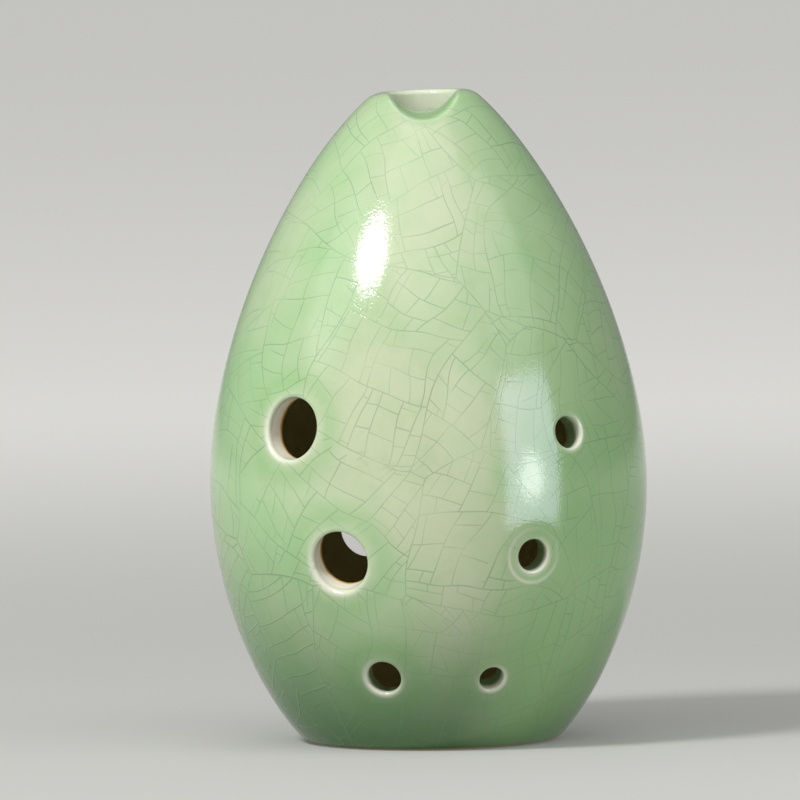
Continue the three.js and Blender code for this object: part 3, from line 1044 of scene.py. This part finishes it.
class XUN_OT_stage(bpy.types.Operator):
    """Sets the pale floor, the soft lights and the camera at the photograph's angle"""

    bl_idname = "xun.stage"
    bl_label = "Stage"
    bl_options = {"REGISTER", "UNDO"}

    def execute(self, context):
        self.floor(context)
        self.lights(context)
        self.camera(context)
        return {"FINISHED"}

    def floor(self, context):
        deselect()
        reach = 40  # metres, so that its edge lies at the horizon
        bpy.ops.mesh.primitive_circle_add(
            vertices=96, radius=reach, fill_type="NGON", location=(0, 0, 0)
        )
        floor = context.object
        floor.name = "floor"
        floor.data.materials.append(matt_floor(context.scene.xun_colours))

    def lights(self, context):
        scene = context.scene
        scene.view_settings.view_transform = "Standard"
        world = bpy.data.worlds.new("studio")
        world.use_nodes = True
        background = world.node_tree.nodes["Background"]
        background.inputs["Color"].default_value = opaque(linear("C9CCCD"))
        background.inputs["Strength"].default_value = 0.34
        scene.world = world
        aim = Vector((0, 0, 0.05))
        # name, azimuth and elevation as the object sees it, distance, width, height, watts, roll
        rows = (
            ("window_left", -47, 45, 1.3, 0.33, 0.2, 10.5, 12),
            ("left_soft", -70, 35, 2.4, 1.2, 1.2, 3.9, 0),
            ("panel_right", 51, 4, 0.16, 0.08, 0.105, 0.122, 0),
            ("lamp_right", 49.5, -1, 0.155, 0.034, 0.034, 0.016, 0),
            ("overhead", 0, 63, 1.6, 1.6, 1.6, 5.9, 0),
            ("front_soft", 24, 15, 2.3, 1.4, 1.4, 3.5, 0),
            ("right_soft", 62, 40, 2.4, 1.5, 1.5, 4.9, 0),
            ("back_soft", 180, 62, 2.4, 1.0, 1.0, 3, 0),
        )
        for name, azimuth, elevation, distance, width, height, watts, roll in rows:
            a, e = math.radians(azimuth), math.radians(elevation)
            out = Vector((math.sin(a) * math.cos(e), -math.cos(a) * math.cos(e), math.sin(e)))
            deselect()
            bpy.ops.object.light_add(type="AREA", location=aim + out * distance)
            light = context.object
            light.name = name
            light.data.shape = "RECTANGLE" if name == "panel_right" else "ELLIPSE"
            light.data.size, light.data.size_y = width, height
            light.data.energy = watts
            light.rotation_mode = "QUATERNION"
            light.rotation_quaternion = out.to_track_quat("Z", "Y")
            light.rotation_quaternion @= Matrix.Rotation(math.radians(roll), 3, "Z").to_quaternion()
            light.visible_camera = False
            if name in ("panel_right", "lamp_right"):
                light.visible_diffuse = False  # they only show in the gloss
            if name == "panel_right":
                light.data.color = context.scene.xun_colours.lamp

    def camera(self, context):
        """Fitted to the photograph: 2.03 m away, 3.4 degrees above level, leaning 0.8 degrees."""
        elevation, roll, distance = 0.0594, 0.0143, 2.027
        field = 0.1351  # width of the view at the object, in metres
        aside, above = -0.00465, 0.00251  # the object stands right of and below the middle
        back = Vector((0, -math.cos(elevation), math.sin(elevation)))
        level = Vector((1, 0, 0))
        upright = back.cross(level)
        right = level * math.cos(roll) - upright * math.sin(roll)
        top = upright * math.cos(roll) + level * math.sin(roll)
        middle = Vector((0, 0, CAD_HIGH.z / 2))
        deselect()
        bpy.ops.object.camera_add(location=middle + back * distance + right * aside + top * above)
        camera = context.object
        camera.name = "photo_camera"
        camera.rotation_mode = "QUATERNION"
        camera.rotation_quaternion = Matrix((right, top, back)).transposed().to_quaternion()
        sensor = 36  # millimetres
        camera.data.sensor_width = sensor
        camera.data.lens = sensor * distance / field
        camera.data.clip_start, camera.data.clip_end = 0.1, 50
        context.scene.camera = camera


class XUN_PT_panel(bpy.types.Panel):
    """Lists the sizes, the colours and the pieces"""

    bl_label = "Xun"
    bl_idname = "XUN_PT_panel"
    bl_space_type = "VIEW_3D"
    bl_region_type = "UI"
    bl_category = "Xun"

    def draw(self, context):
        layout = self.layout
        for operator in OPERATORS:
            layout.operator(operator.bl_idname)
        for group in (context.scene.xun_sizes, context.scene.xun_colours):
            box = layout.box()
            for name in group.bl_rna.properties.keys():
                if name not in ("rna_type", "name"):
                    box.prop(group, name)


OPERATORS = (XUN_OT_stage, XUN_OT_clay_bowls, XUN_OT_luting_coil, XUN_OT_glaze_coat)
CLASSES = (XunSizes, XunColours, *OPERATORS, XUN_PT_panel)


def register():
    for made in CLASSES:
        bpy.utils.register_class(made)
    bpy.types.Scene.xun_sizes = PointerProperty(type=XunSizes)
    bpy.types.Scene.xun_colours = PointerProperty(type=XunColours)


def unregister():
    del bpy.types.Scene.xun_colours
    del bpy.types.Scene.xun_sizes
    for made in reversed(CLASSES):
        bpy.utils.unregister_class(made)


def main():
    """Registers the panel and builds the stage, the clay bowls, the luting coil and the glaze coat.
    """
    register()
    bpy.ops.xun.stage()
    bpy.ops.xun.clay_bowls()
    bpy.ops.xun.luting_coil()
    bpy.ops.xun.glaze_coat()


if __name__ == "__main__":
    main()
